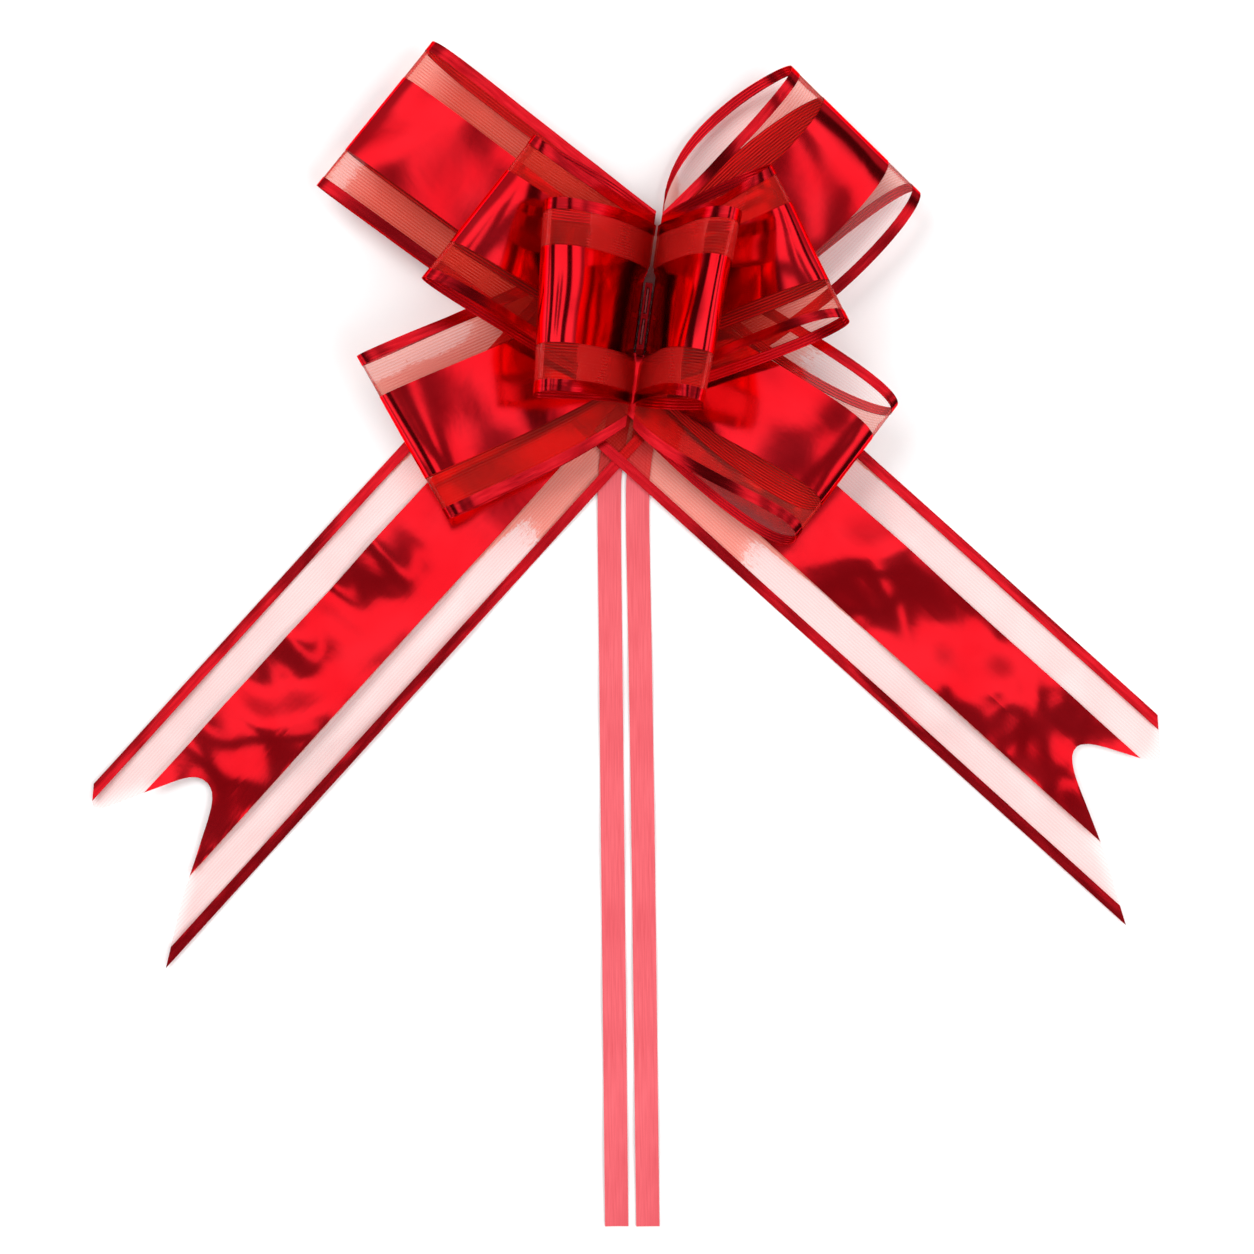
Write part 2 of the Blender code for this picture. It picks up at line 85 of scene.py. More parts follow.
# --- the loops ------------------------------------------------------------------------------------------
# Each pair holds the upper edge's value and the lower edge's. tier 1 is the foremost. fold is where an edge
# turns back, and root its place along the seam line. A layer's edge is a cubic curve from root to fold, and
# share, near, far, bow and lean place its two handles. crown is how far the layer's middle stands out.
LOOPS = {
    "front_left": dict(
        tier=1, side=-1, fold=((-0.0215, 0.0777, 0.0440), (-0.0241, 0.0275, 0.0440)),
        root=(0.0250, -0.0245), lean=(0.0, 0.0),
        front=dict(share=0.20, near=(0.0480, 0.0480), far=(0.0760, 0.0760),
                   bow=(-0.001, 0.0), crown=0.0015),
        back=dict(share=0.14, near=(0.0345, 0.0345), far=(0.0350, 0.0350),
                  bow=(0.0, 0.0), crown=0.0)),
    "front_right": dict(
        tier=1, side=1, fold=((0.0303, 0.0746, 0.0440), (0.0203, 0.0243, 0.0440)),
        root=(0.0250, -0.0245), lean=(0.0, -0.03),
        front=dict(share=0.20, near=(0.0480, 0.0480), far=(0.0760, 0.0760),
                   bow=(-0.001, -0.002), crown=0.0015),
        back=dict(share=0.14, near=(0.0345, 0.0345), far=(0.0350, 0.0350),
                  bow=(0.0, 0.002), crown=0.0)),
    "middle_left": dict(
        tier=2, side=-1, fold=((-0.0241, 0.0981, 0.0350), (-0.0543, 0.0599, 0.0350)),
        root=(0.0290, -0.0235), lean=(-0.10, -0.10),
        front=dict(share=0.45, near=(0.0215, 0.0215), far=(0.0510, 0.0510),
                   bow=(-0.003, -0.002), crown=0.003),
        back=dict(share=0.25, near=(0.0210, 0.0225), far=(0.0240, 0.0260),
                  bow=(0.002, 0.002), crown=0.0)),
    "middle_right": dict(
        tier=2, side=1, fold=((0.0386, 0.0905, 0.0350), (0.0597, 0.0483, 0.0350)),
        root=(0.0290, -0.0235), lean=(-0.20, -0.25),
        front=dict(share=0.45, near=(0.0215, 0.0215), far=(0.0510, 0.0510),
                   bow=(-0.004, -0.005), crown=0.003),
        back=dict(share=0.25, near=(0.0210, 0.0225), far=(0.0240, 0.0260),
                  bow=(0.002, 0.003), crown=0.0)),
    "lower_left": dict(
        tier=3, side=-1, fold=((-0.0734, 0.0410, 0.0200), (-0.0490, -0.0033, 0.0135)),
        root=(0.0250, -0.0300), lean=(0.0, 0.0),
        front=dict(share=0.45, near=(0.0160, 0.0110), far=(0.0275, 0.0250),
                   bow=(-0.001, 0.003), crown=0.0015),
        back=dict(share=0.30, near=(0.0165, 0.0082), far=(0.0165, 0.0055),
                  bow=(0.001, 0.003), crown=0.0)),
    "lower_right": dict(
        tier=3, side=1, fold=((0.0740, 0.0273, 0.0210), (0.0464, -0.0095, 0.0160)),
        root=(0.0250, -0.0300), lean=(0.80, -0.60),
        front=dict(share=0.32, near=(0.0160, 0.0110), far=(0.0290, 0.0290),
                   bow=(-0.002, 0.0055), crown=0.0015),
        back=dict(share=0.48, near=(0.0150, 0.0082), far=(0.0165, 0.0060),
                  bow=(-0.0145, 0.0047), crown=0.0)),
    "upper_left": dict(
        tier=4, side=-1, fold=((-0.0536, 0.1290, 0.0110), (-0.0858, 0.0895, 0.0100)),
        root=(0.0310, -0.0250), lean=(0.10, 0.0),
        front=dict(share=0.45, near=(0.0090, 0.0060), far=(0.0220, 0.0165),
                   bow=(0.0, 0.0), crown=0.001),
        back=dict(share=0.45, near=(0.0020, 0.0020), far=(0.0022, 0.0022),
                  bow=(-0.002, 0.0), crown=0.0)),
    "upper_right": dict(
        tier=4, side=1, fold=((0.0454, 0.1221, 0.0130), (0.0813, 0.0878, 0.0105)),
        root=(0.0310, -0.0250), lean=(-0.35, 0.80),
        front=dict(share=0.42, near=(0.0090, 0.0060), far=(0.0270, 0.0185),
                   bow=(-0.002, 0.0175), crown=0.002),
        back=dict(share=0.34, near=(0.0020, 0.0020), far=(0.0022, 0.0022),
                  bow=(0.015, -0.001), crown=0.0, root=(0.0340, -0.0250))),
}
LAYER_STEPS = 34
FOLD_END = 1.02                # how far round a loop the front layer's colouring goes, where the fold is 1
LOOP_SEED = 40
LOOP_WAVES = (0.0011, 0.030)   # height and length of the crinkles
LOOP_CALM = 0.25               # share of a layer, at its root and its fold, over which they fade out

# --- the tails ------------------------------------------------------------------------------------------
# corner is where along starts, at the upper edge. root and cut hold the outline of the hidden end and of
# the fishtail, as (across, along). hinge is where the grid goes from the root's rows to the far end's rows.
TAILS = {
    "left": dict(
        side=-1, corner=(-0.0621, 0.0195), heading=math.radians(227.8), root_height=0.0007,
        root=[(0.0, -0.0700), (0.0206, -0.0764), (0.0309, -0.0616), (0.0500, -0.0700)],
        hinge=0.0140,
        cut=[(0.0, 0.1308), (0.0050, 0.1372), (0.0190, 0.1100), (0.0240, 0.1083), (0.0285, 0.1115),
             (0.0400, 0.1375), (0.0500, 0.1558)]),
    "right": dict(
        side=1, corner=(0.0674, 0.0167), heading=math.radians(-42.1), root_height=0.0018,
        root=[(0.0, -0.0700), (0.0071, -0.0739), (0.0219, -0.0638), (0.0500, -0.0680)],
        hinge=0.0120,
        cut=[(0.0, 0.1114), (0.0100, 0.1212), (0.0190, 0.1015), (0.0235, 0.0995), (0.0280, 0.1040),
             (0.0390, 0.1260), (0.0500, 0.1446)]),
}
TAIL_DROP_START = -0.024       # a tail comes down from its root's height to the table from here
TAIL_DROP_END = 0.006          # to here
TAIL_ROOT_STEPS = 30
TAIL_END_STEPS = 60
TAIL_WAVES = ((70, 0.0024, 0.042), (90, 0.0006, 0.015))   # seed, height and length of the crinkles
TAIL_WAVES_FADE = 0.03         # length from the corner over which they set in
TAIL_EDGE_CALM = 0.012         # width over which they are weaker towards an edge
TAIL_EDGE_SHARE = 0.30         # how much of them is left at the edge
CUT_ROUNDING = 0.0022          # distance over which the fishtail's corners are rounded
CUT_SAMPLES = 9
LINE_GAP = 0.004               # least distance of an added grid line from the next, as a share of the width

# --- the pull strings -----------------------------------------------------------------------------------
STRING_WIDTH = 0.0066
STRING_THICKNESS = 0.00018
STRING_BASE = 0.0001
STRING_COLUMNS = 8
STRING_CUP = 0.00010           # how far its edges stand up
STRING_WAVE = (0.00025, 0.043)   # half the height and the length of its waves
STRING_FLAT = 0.055            # length under the loops and tails that lies flat
STRING_WAVE_FADE = 0.05        # length over which the waves set in
STRING_ROUTES = {
    "left": [(0.0014, 0.0435), (-0.0012, 0.0295), (-0.0040, 0.0135), (-0.0046, -0.0005),
             (-0.0042, -0.0405), (-0.0037, -0.0905), (-0.0031, -0.1455), (-0.0025, -0.2024)],
    "right": [(0.0086, 0.0435), (0.0068, 0.0295), (0.0040, 0.0135), (0.0034, -0.0005),
              (0.0041, -0.0405), (0.0049, -0.0905), (0.0056, -0.1455), (0.0063, -0.2024)],
}
STRING_STEPS = 160

# --- camera, lights and table ---------------------------------------------------------------------------
CAMERA_PLACE = (0.0004, -0.0332, 0.650)
CAMERA_LENS = 66.06
CAMERA_SENSOR = 36.0
LIGHTS = {"key": ((-0.55, 0.45, 0.90), 9.2), "fill": ((0.60, -0.30, 0.80), 8.2)}   # place and power
LIGHT_TARGET = (0, 0.03, 0)
LIGHT_SIZE = 0.80
WORLD_LIGHT, WORLD_DARK = 1.10, 0.04   # what the foil mirrors, outside the gaps and in them
WORLD_SEEN = 0.98                      # what the camera sees behind everything
FLOOR_HEIGHT = -0.0002
FLOOR_SIZE = 12.0
FILM_LAYERS_SEEN = 64                  # see-through surfaces that a ray may pass

UP = np.array((0.0, 0.0, 1.0))

# --- colours, most of them in pairs that the material's grain or ribs mix -------------------------------
SALMON = (0.995, 0.860, 0.830, 1.0), (0.980, 0.755, 0.710, 1.0)
# the film's tint in the patches of painted glare: nearly colourless
GLARE_TINT = (0.999, 0.976, 0.972, 1.0), (0.992, 0.930, 0.925, 1.0)
GRAZING_FILM = (0.93, 0.36, 0.24, 1.0)
HAZE_RED = (0.98, 0.12, 0.09, 1.0), (0.60, 0.02, 0.02, 1.0)
# the haze's colours in the patches of painted glare
GLARE_HAZE = (0.98, 0.90, 0.89, 1.0), (0.93, 0.60, 0.58, 1.0)
FILM_GLOSS = (0.66, 0.02, 0.02, 1.0)
FOIL = (0.93, 0.010, 0.020, 1.0), (0.99, 0.017, 0.030, 1.0)
FOIL_REVERSE = (0.26, 0.001, 0.003, 1.0), (0.82, 0.006, 0.010, 1.0)
STRIPE = (0.66, 0.008, 0.016, 1.0), (0.86, 0.016, 0.028, 1.0)
STRIPE_REVERSE = (0.72, 0.006, 0.014, 1.0), (0.96, 0.016, 0.028, 1.0)
STRING = (0.64, 0.075, 0.094, 1.0), (0.76, 0.120, 0.143, 1.0)
SEAM = (0.30, 0.004, 0.008, 1.0), (0.46, 0.010, 0.016, 1.0)
TABLE = (0.90, 0.90, 0.90, 1.0), (0.92, 0.92, 0.92, 1.0)
FOIL_GLINT = (0.9, 0.10, 0.12, 1.0)
STRIPE_GLINT = (0.9, 0.12, 0.14, 1.0)
SEAM_GLINT = (0.9, 0.05, 0.06, 1.0)
WHITE = (1.0, 1.0, 1.0, 1.0)


# --- small maths ----------------------------------------------------------------------------------------

def smooth(t):
    t = np.clip(t, 0.0, 1.0)
    return t * t * (3 - 2 * t)


def rise(value, start, length):
    """0 up to start, then smoothly up to 1 over the length."""
    return smooth((value - start) / length)


def fall(value, end, length):
    """1 at first, then smoothly down over the length to 0 at end."""
    return smooth((end - value) / length)


def unit(v):
    return v / np.maximum(np.linalg.norm(v, axis=-1, keepdims=True), 1e-12)


def bezier(p0, p1, p2, p3, t):
    s = 1 - t
    return p0 * s ** 3 + p1 * (3 * s * s * t) + p2 * (3 * s * t * t) + p3 * t ** 3


def ribbon_lines():
    """The shares across the ribbon of all grid lines, and the lane of each column between them."""
    stripe, band = EDGE_STRIPE / RIBBON_WIDTH, (EDGE_STRIPE + CLEAR_BAND) / RIBBON_WIDTH
    stops = [0.0, stripe, band, 1 - band, 1 - stripe, 1.0]
    counts = [STRIPE_COLUMNS, CLEAR_COLUMNS, FOIL_COLUMNS, CLEAR_COLUMNS, STRIPE_COLUMNS]
    lanes = ["upper", "clear", "foil", "clear", "lower"]
    lines, lane_of = [0.0], []
    for low, high, count, lane in zip(stops, stops[1:], counts, lanes):
        lines += [low + (high - low) * (k + 1) / count for k in range(count)]
        lane_of += [lane] * count
    return np.array(lines), lane_of


# --- meshes ---------------------------------------------------------------------------------------------

def add_shell(name, grid, normals, low, high, coords, masks, lane_slots, materials):
    """Adds the thin closed solid between two heights over a grid of points.

    coords holds (along, across) of each point in metres, and masks named values of each point.
    lane_slots is the material slot of each column of faces.
    """
    rows, columns = grid.shape[:2]
    points = np.concatenate([(grid + normals * low).reshape(-1, 3), (grid + normals * high).reshape(-1, 3)])
    layer = rows * columns
    r, c = np.meshgrid(np.arange(rows - 1), np.arange(columns - 1), indexing="ij")
    corner = (r * columns + c).ravel()
    slots = np.array(lane_slots)[c.ravel()]
    across = np.stack([corner, corner + 1, corner + columns + 1], axis=1)
    along = np.stack([corner, corner + columns + 1, corner + columns], axis=1)
    top = np.concatenate([across, along]) + layer
    bottom = np.concatenate([across, along])[:, ::-1]
    rim = list(range(columns))
    rim += [k * columns + columns - 1 for k in range(1, rows)]
    rim += [(rows - 1) * columns + k for k in range(columns - 2, -1, -1)]
    rim += [k * columns for k in range(rows - 2, 0, -1)]
    rim = np.array(rim)
    ahead = np.roll(rim, -1)
    walls = np.concatenate([np.stack([rim, ahead, ahead + layer], axis=1),
                            np.stack([rim, ahead + layer, rim + layer], axis=1)])
    faces = np.concatenate([top, bottom, walls])
    a, b, d = (points[faces[:, k]] for k in range(3))
    if (a * np.cross(b, d)).sum() < 0:
        faces = faces[:, ::-1]
    column = np.minimum(rim % columns, ahead % columns)
    column = np.clip(column, 0, columns - 2)
    wall_slots = np.array(lane_slots)[column]
    face_slots = np.concatenate([slots] * 4 + [wall_slots] * 2)
    mesh = bpy.data.meshes.new(name)
    mesh.from_pydata([tuple(p) for p in points], [], [tuple(int(i) for i in f) for f in faces])
    mesh.polygons.foreach_set("material_index", face_slots.astype(np.int32))
    for material in materials:
        mesh.materials.append(material)
    uv = np.concatenate([coords.reshape(-1, 2)] * 2)
    owner = np.zeros(len(mesh.loops), np.int32)
    mesh.loops.foreach_get("vertex_index", owner)
    layer_uv = mesh.uv_layers.new(name="ribbon")
    layer_uv.data.foreach_set("uv", uv[owner].astype(np.float32).ravel())
    for label, values in masks.items():
        attribute = mesh.attributes.new(label, "FLOAT", "POINT")
        attribute.data.foreach_set("value", np.concatenate([values.ravel()] * 2).astype(np.float32))
    mesh.shade_smooth()
    mesh.set_sharp_from_angle(angle=SHARP_ANGLE)
    obj = bpy.data.objects.new(name, mesh)
    bpy.context.scene.collection.objects.link(obj)
    return obj


def grid_normals(grid, side):
    """The unit normal at each grid point, turned over where side is -1."""
    along = np.gradient(grid, axis=0)
    across = np.gradient(grid, axis=1)
    return unit(np.cross(along, across)) * side


def run_length(points):
    """How far along a line of points each one is."""
    return np.concatenate([[0.0], np.cumsum(np.linalg.norm(np.diff(points, axis=0), axis=1))])


def measured(grid, lines):
    """(along, across) of each grid point in metres, along the ribbon's middle line."""
    along = run_length(grid[:, grid.shape[1] // 2])
    return np.stack(np.broadcast_arrays(along[:, None], lines[None, :] * RIBBON_WIDTH), axis=2)


# --- materials ------------------------------------------------------------------------------------------

class Graph:
    """A material's or world's node tree, with short ways to add to it."""

    def __init__(self, owner):
        owner.use_nodes = True
        self.tree = owner.node_tree
        self.tree.nodes.clear()

    def node(self, kind, values=None, **settings):
        made = self.tree.nodes.new(kind)
        for key, value in settings.items():
            setattr(made, key, value)
        for key, value in (values or {}).items():
            self.put(made.inputs[key], value)
        return made

    def put(self, socket, value):
        if isinstance(value, bpy.types.NodeSocket):
            self.tree.links.new(value, socket)
        else:
            socket.default_value = value

    def math(self, operation, first, second=0.0, third=0.0):
        made = self.node("ShaderNodeMath", {0: first, 1: second, 2: third}, operation=operation)
        return made.outputs[0]

    def spread(self, value, low, high, to_low=0.0, to_high=1.0, kind="SMOOTHSTEP"):
        made = self.node("ShaderNodeMapRange", {"Value": value, "From Min": low, "From Max": high,
                                                "To Min": to_low, "To Max": to_high},
                         interpolation_type=kind)
        return made.outputs["Result"]

    def mix(self, share, first, second):
        made = self.node("ShaderNodeMix", data_type="RGBA")
        self.put(made.inputs[0], share)
        self.put(made.inputs[6], first)
        self.put(made.inputs[7], second)
        return made.outputs[2]

    def noise(self, vector, scale, detail=2.0, roughness=0.5, distortion=0.0):
        made = self.node("ShaderNodeTexNoise", {"Vector": vector, "Scale": scale, "Detail": detail,
                                                "Roughness": roughness, "Distortion": distortion})
        return made.outputs["Fac"]

    def stretched(self, vector, scale):
        made = self.node("ShaderNodeMapping", {"Vector": vector, "Scale": scale})
        return made.outputs["Vector"]

    def gate(self, value, opening, closing):
        """1 between two smooth steps and 0 outside them; each step says where it is 0 and where 1."""
        return self.math("MULTIPLY", self.spread(value, *opening), self.spread(value, *closing))

    def ribbon(self):
        """The ribbon's own coordinates: a vector (along, across, 0) in metres."""
        return self.node("ShaderNodeUVMap", uv_map="ribbon").outputs["UV"]

    def place(self, output="Object"):
        return self.node("ShaderNodeTexCoord").outputs[output]

    def parts(self, vector):
        return self.node("ShaderNodeSeparateXYZ", {0: vector}).outputs

    def mask(self, name):
        return self.node("ShaderNodeAttribute", attribute_name=name).outputs["Fac"]

    def bump(self, height, distance, strength=1.0):
        made = self.node("ShaderNodeBump", {"Height": height, "Distance": distance, "Strength": strength})
        return made.outputs["Normal"]

    def principled(self, values):
        return self.node("ShaderNodeBsdfPrincipled", values).outputs[0]

    def finish(self, shader, kind="ShaderNodeOutputMaterial"):
        self.node(kind, {"Surface": shader})


def new_graph(name):
    material = bpy.data.materials.new(name)
    return material, Graph(material)


def ribs(g, uv):
    """Fine lengthwise ribs, from 0 to 1."""
    across = g.parts(uv)["Y"]
    wave = g.math("SINE", g.math("MULTIPLY", across, 2 * math.pi / RIB_PITCH))
    return g.spread(wave, -1.0, 1.0, kind="LINEAR")


def film_material():
    """The clear ribbed film: tinted salmon, and nearly colourless in patches of painted glare with ragged
    edges.
    """
    material, g = new_graph("clear_film")
    uv = g.ribbon()
    rib = ribs(g, uv)
    ragged = g.noise(g.stretched(uv, (1.0, 3.4, 1.0)), 520.0, 7.0, 0.78, 1.2)
    broad = g.noise(uv, 95.0, 2.0, 0.5)
    fine = g.noise(g.stretched(uv, (0.06, 1.0, 1.0)), 1700.0, 2.0, 0.5)
    ticks = g.noise(g.stretched(uv, (1.0, 0.22, 1.0)), 420.0, 2.0, 0.4, 0.3)
    # painted glare: the mask, broken up by ragged noise, broad noise and ticks, makes the tint nearly
    # colourless and the haze pale
    level = g.math("ADD", g.mask("pale"), g.math("MULTIPLY", g.math("SUBTRACT", ragged, 0.5), 1.1))
    level = g.math("ADD", level, g.math("MULTIPLY", g.math("SUBTRACT", broad, 0.5), 0.35))
    level = g.math("SUBTRACT", level, g.spread(ticks, 0.74, 0.80, 0.0, 0.45))
    pale = g.spread(level, 0.46, 0.50)
    streak = g.math("MULTIPLY_ADD", rib, 0.7, g.math("MULTIPLY", fine, 0.3))
    line = g.spread(streak, 0.25, 0.75)
    tint = g.mix(pale, g.mix(line, *SALMON), g.mix(line, *GLARE_TINT))
    facing = g.node("ShaderNodeLayerWeight", {"Blend": 0.5}).outputs["Facing"]
    tint = g.mix(g.spread(facing, 0.55, 0.97, 0.0, 0.8), tint, GRAZING_FILM)
    clear = g.node("ShaderNodeBsdfTransparent", {"Color": tint})
    haze_tint = g.mix(pale, g.mix(line, *HAZE_RED), g.mix(line, *GLARE_HAZE))
    haze = g.node("ShaderNodeBsdfDiffuse", {"Color": haze_tint})
    clear = g.node("ShaderNodeMixShader", {0: g.spread(pale, 0.0, 1.0, 0.05, 0.03),
                                           1: clear.outputs[0], 2: haze.outputs[0]})
    uneven = g.bump(g.math("ADD", rib, g.math("MULTIPLY", broad, 30.0)), 0.00003, 0.6)
    gloss = g.principled({"Base Color": FILM_GLOSS, "Roughness": 0.14, "Specular IOR Level": 0.5,
                          "Normal": uneven})
    fresnel = g.node("ShaderNodeFresnel", {"IOR": 1.35, "Normal": uneven})
    share = g.math("MULTIPLY", fresnel.outputs[0], 0.6)
    mixed = g.node("ShaderNodeMixShader", {0: share, 1: clear.outputs[0], 2: gloss})
    g.finish(mixed.outputs[0])
    return material


def foil_material():
    """The metallised band: bright red, mirror-like, with faint lengthwise grain."""
    material, g = new_graph("red_foil")
    uv = g.ribbon()
    soft = g.noise(uv, 45.0, 3.0, 0.5, 0.3)
    grain = g.noise(g.stretched(uv, (0.12, 1.0, 1.0)), 900.0, 3.0, 0.5)
    colour = g.mix(g.spread(soft, 0.3, 0.7), *FOIL)
    rough = g.math("MULTIPLY_ADD", soft, 0.06, g.math("MULTIPLY_ADD", grain, 0.04, 0.10))
    crinkle = g.noise(uv, 75.0, 3.0, 0.45, 0.4)
    g.finish(g.principled({"Base Color": colour, "Metallic": 1.0, "Roughness": rough,
                           "Specular Tint": FOIL_GLINT, "Normal": g.bump(crinkle, 0.0006, 0.12)}))
    return material


def backed_material(name, colours, roughness, metallic):
    """The reverse of the foil or of a stripe, seen through the ribbed film that carries it."""
    material, g = new_graph(name)
    uv = g.ribbon()
    rib = ribs(g, uv)
    fine = g.noise(g.stretched(uv, (0.06, 1.0, 1.0)), 1400.0, 2.0, 0.5)
    streak = g.math("MULTIPLY_ADD", rib, 0.5, g.math("MULTIPLY", fine, 0.5))
    colour = g.mix(g.spread(streak, 0.25, 0.75), *colours)
    g.finish(g.principled({"Base Color": colour, "Metallic": metallic, "Roughness": roughness,
                           "Specular Tint": FOIL_GLINT, "Normal": g.bump(rib, 0.00008, 0.7)}))
    return material


def stripe_material():
    """The narrow metallised stripes along the edges: satin red."""
    material, g = new_graph("edge_stripe")
    uv = g.ribbon()
    satin = g.noise(g.stretched(uv, (0.10, 1.0, 1.0)), 1200.0, 3.0, 0.5)
    soft = g.noise(uv, 80.0, 2.0, 0.5)
    colour = g.mix(g.spread(satin, 0.3, 0.7), *STRIPE)
    g.finish(g.principled({"Base Color": colour, "Metallic": 1.0, "Specular Tint": STRIPE_GLINT,
                           "Roughness": g.math("MULTIPLY_ADD", soft, 0.12, 0.14),
                           "Normal": g.bump(satin, 0.0001, 0.3)}))
    return material


def string_material():
    """The pull strings: thin satin ribbon with a lengthwise grain."""
    material, g = new_graph("pull_string")
    uv = g.ribbon()
    grain = g.noise(g.stretched(uv, (0.03, 1.0, 1.0)), 2600.0, 3.0, 0.5)
    soft = g.noise(g.stretched(uv, (1.0, 2.0, 1.0)), 40.0, 2.0, 0.5)
    share = g.math("MULTIPLY_ADD", grain, 0.6, g.math("MULTIPLY", soft, 0.4))
    colour = g.mix(g.spread(share, 0.3, 0.7), *STRING)
    g.finish(g.principled({"Base Color": colour, "Roughness": 0.38, "Sheen Weight": 0.25,
                           "Sheen Roughness": 0.4, "Normal": g.bump(grain, 0.0001, 0.35)}))
    return material


def seam_material():
    """The pressed seams: fused film, glossy and slightly lumpy."""
    material, g = new_graph("heat_seam")
    lumps = g.noise(g.place(), 700.0, 3.0, 0.5)
    colour = g.mix(g.spread(lumps, 0.3, 0.7), *SEAM)
    g.finish(g.principled({"Base Color": colour, "Metallic": 0.5, "Specular IOR Level": 0.1,
                           "Specular Tint": SEAM_GLINT,
                           "Roughness": g.math("MULTIPLY_ADD", lumps, 0.2, 0.25),
                           "Normal": g.bump(lumps, 0.0002, 0.6)}))
    return material


def core_material():
    """The drawn-in strings inside the seams, which have no ribbon coordinates of their own."""
    material, g = new_graph("string_in_seam")
    grain = g.noise(g.stretched(g.place(), (1.0, 1.0, 0.05)), 2600.0, 3.0, 0.5)
    colour = g.mix(g.spread(grain, 0.3, 0.7), *STRING)
    g.finish(g.principled({"Base Color": colour, "Roughness": 0.38, "Sheen Weight": 0.25,
                           "Normal": g.bump(grain, 0.0001, 0.35)}))
    return material


def floor_material():
    """The white table: matt, and very faintly uneven in tone."""
    material, g = new_graph("table")
    colour = g.mix(g.noise(g.place(), 9.0, 2.0, 0.5), *TABLE)
    g.finish(g.principled({"Base Color": colour, "Roughness": 0.75, "Specular IOR Level": 0.1}))
    return material


# --- ribbon pieces --------------------------------------------------------------------------------------

def ribbon_pieces(label, film_name, grid, normals, coords, lane_of, masks, made):
    """The film, the foil band and the two edge stripes over one grid, as four pieces."""
    slot_of = {"clear": 0, "foil": 1, "upper": 2, "lower": 2}
    film = add_shell(film_name, grid, normals, 0.0, FILM, coords, masks, [slot_of[k] for k in lane_of],
                     [made["film"], made["foil_back"], made["stripe_back"]])
    found = {"film": film}
    for lane, prefix, material in (("foil", "foil_band", "foil"), ("upper", "stripe_upper", "stripe"),
                                   ("lower", "stripe_lower", "stripe")):
        columns = [k for k, name in enumerate(lane_of) if name == lane]
        part = slice(columns[0], columns[-1] + 2)
        found[lane] = add_shell(
            f"{prefix}_{label}", grid[:, part], normals[:, part], SKIN_LOW, SKIN_HIGH, coords[:, part],
            {k: v[:, part] for k, v in masks.items()}, [0] * (part.stop - part.start - 1), [made[material]])
    return found


def register(pieces, nodes):
    """Hides the CAD nodes that each piece stands in for."""
    for lane, piece in pieces.items():
        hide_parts(*nodes[lane])


# --- loops ----------------------------------------------------------------------------------------------

def seam_base(number):
    """The height of a seam's underside; number 1 is the front seam."""
    return LAST_SEAM_BASE + (SEAM_COUNT - number) * SEAM_PITCH


def loop_roots(loop, edge):
    """Where an edge of the front layer and of the back layer starts at the seams."""
    offset = FIRST_BEYOND if loop["tier"] == 1 else ROOT_BEYOND
    plan = SEAM_CENTRE + ALONG_SEAM * loop["root"][edge]
    plan_back = SEAM_CENTRE + ALONG_SEAM * loop["back"].get("root", loop["root"])[edge]
    middle = SEAM_HEIGHT / 2
    front_height = seam_base(loop["tier"]) + middle - ROOT_SPLIT
    if loop["tier"] == 1:
        front_height = seam_base(1) + SEAM_HEIGHT + FIRST_RISE
    front = plan + ACROSS_SEAM * (loop["side"] * offset) + np.array((0, 0, front_height))
    back = plan_back + ACROSS_SEAM * (loop["side"] * ROOT_BEYOND)
    back = back + np.array((0, 0, seam_base(loop["tier"] + 1) + middle + ROOT_SPLIT))
    return front, back


def edge_handles(loop, edge, layer, root):
    """The two handles of the curve from root to fold, along one edge of a layer."""
    shape = loop[layer]
    fold = np.array(loop["fold"][edge])
    outward = fold - np.array(loop["fold"][1 - edge])
    outward[2] = 0
    outward = unit(outward)
    near = root + (fold - root) * shape["share"] + outward * shape["bow"][edge]
    near[2] = shape["near"][edge]
    far = fold + outward * (loop["lean"][edge] * (shape["far"][edge] - fold[2]))
    far[2] = shape["far"][edge]
    return near, far


def edge_curve(loop, edge, alongs):
    """One edge of a loop: its front layer while along goes from 0 to 1, its back layer from 1 to 2."""
    fold = np.array(loop["fold"][edge])
    front, back = ((root, *edge_handles(loop, edge, layer, root))
                   for layer, root in zip(("front", "back"), loop_roots(loop, edge)))
    return np.array([bezier(*front, fold, along) if along <= 1 else bezier(*back, fold, 2 - along)
                     for along in alongs])


def loop_grid(loop, lines):
    """The points of a loop's surface, and how far round it each row is, from 0 to 2."""
    steps = [math.sin(math.pi / 2 * k / LAYER_STEPS) for k in range(LAYER_STEPS + 1)]
    alongs = np.array(steps + [2 - s for s in steps[-2::-1]])
    upper, lower = edge_curve(loop, 0, alongs), edge_curve(loop, 1, alongs)
    grid = upper[:, None, :] * (1 - lines[None, :, None]) + lower[:, None, :] * lines[None, :, None]
    normals = grid_normals(grid, -loop["side"])
    swell = np.sin(np.pi * np.where(alongs <= 1, alongs, 2 - alongs)) ** 2
    crown = np.where(alongs <= 1, loop["front"]["crown"], loop["back"]["crown"]) * swell
    lift = crown[:, None] * 4 * lines[None, :] * (1 - lines[None, :])
    middle = normals[:, len(lines) // 2][:, None, :]
    grid = grid + middle * lift[:, :, None]
    return grid, alongs


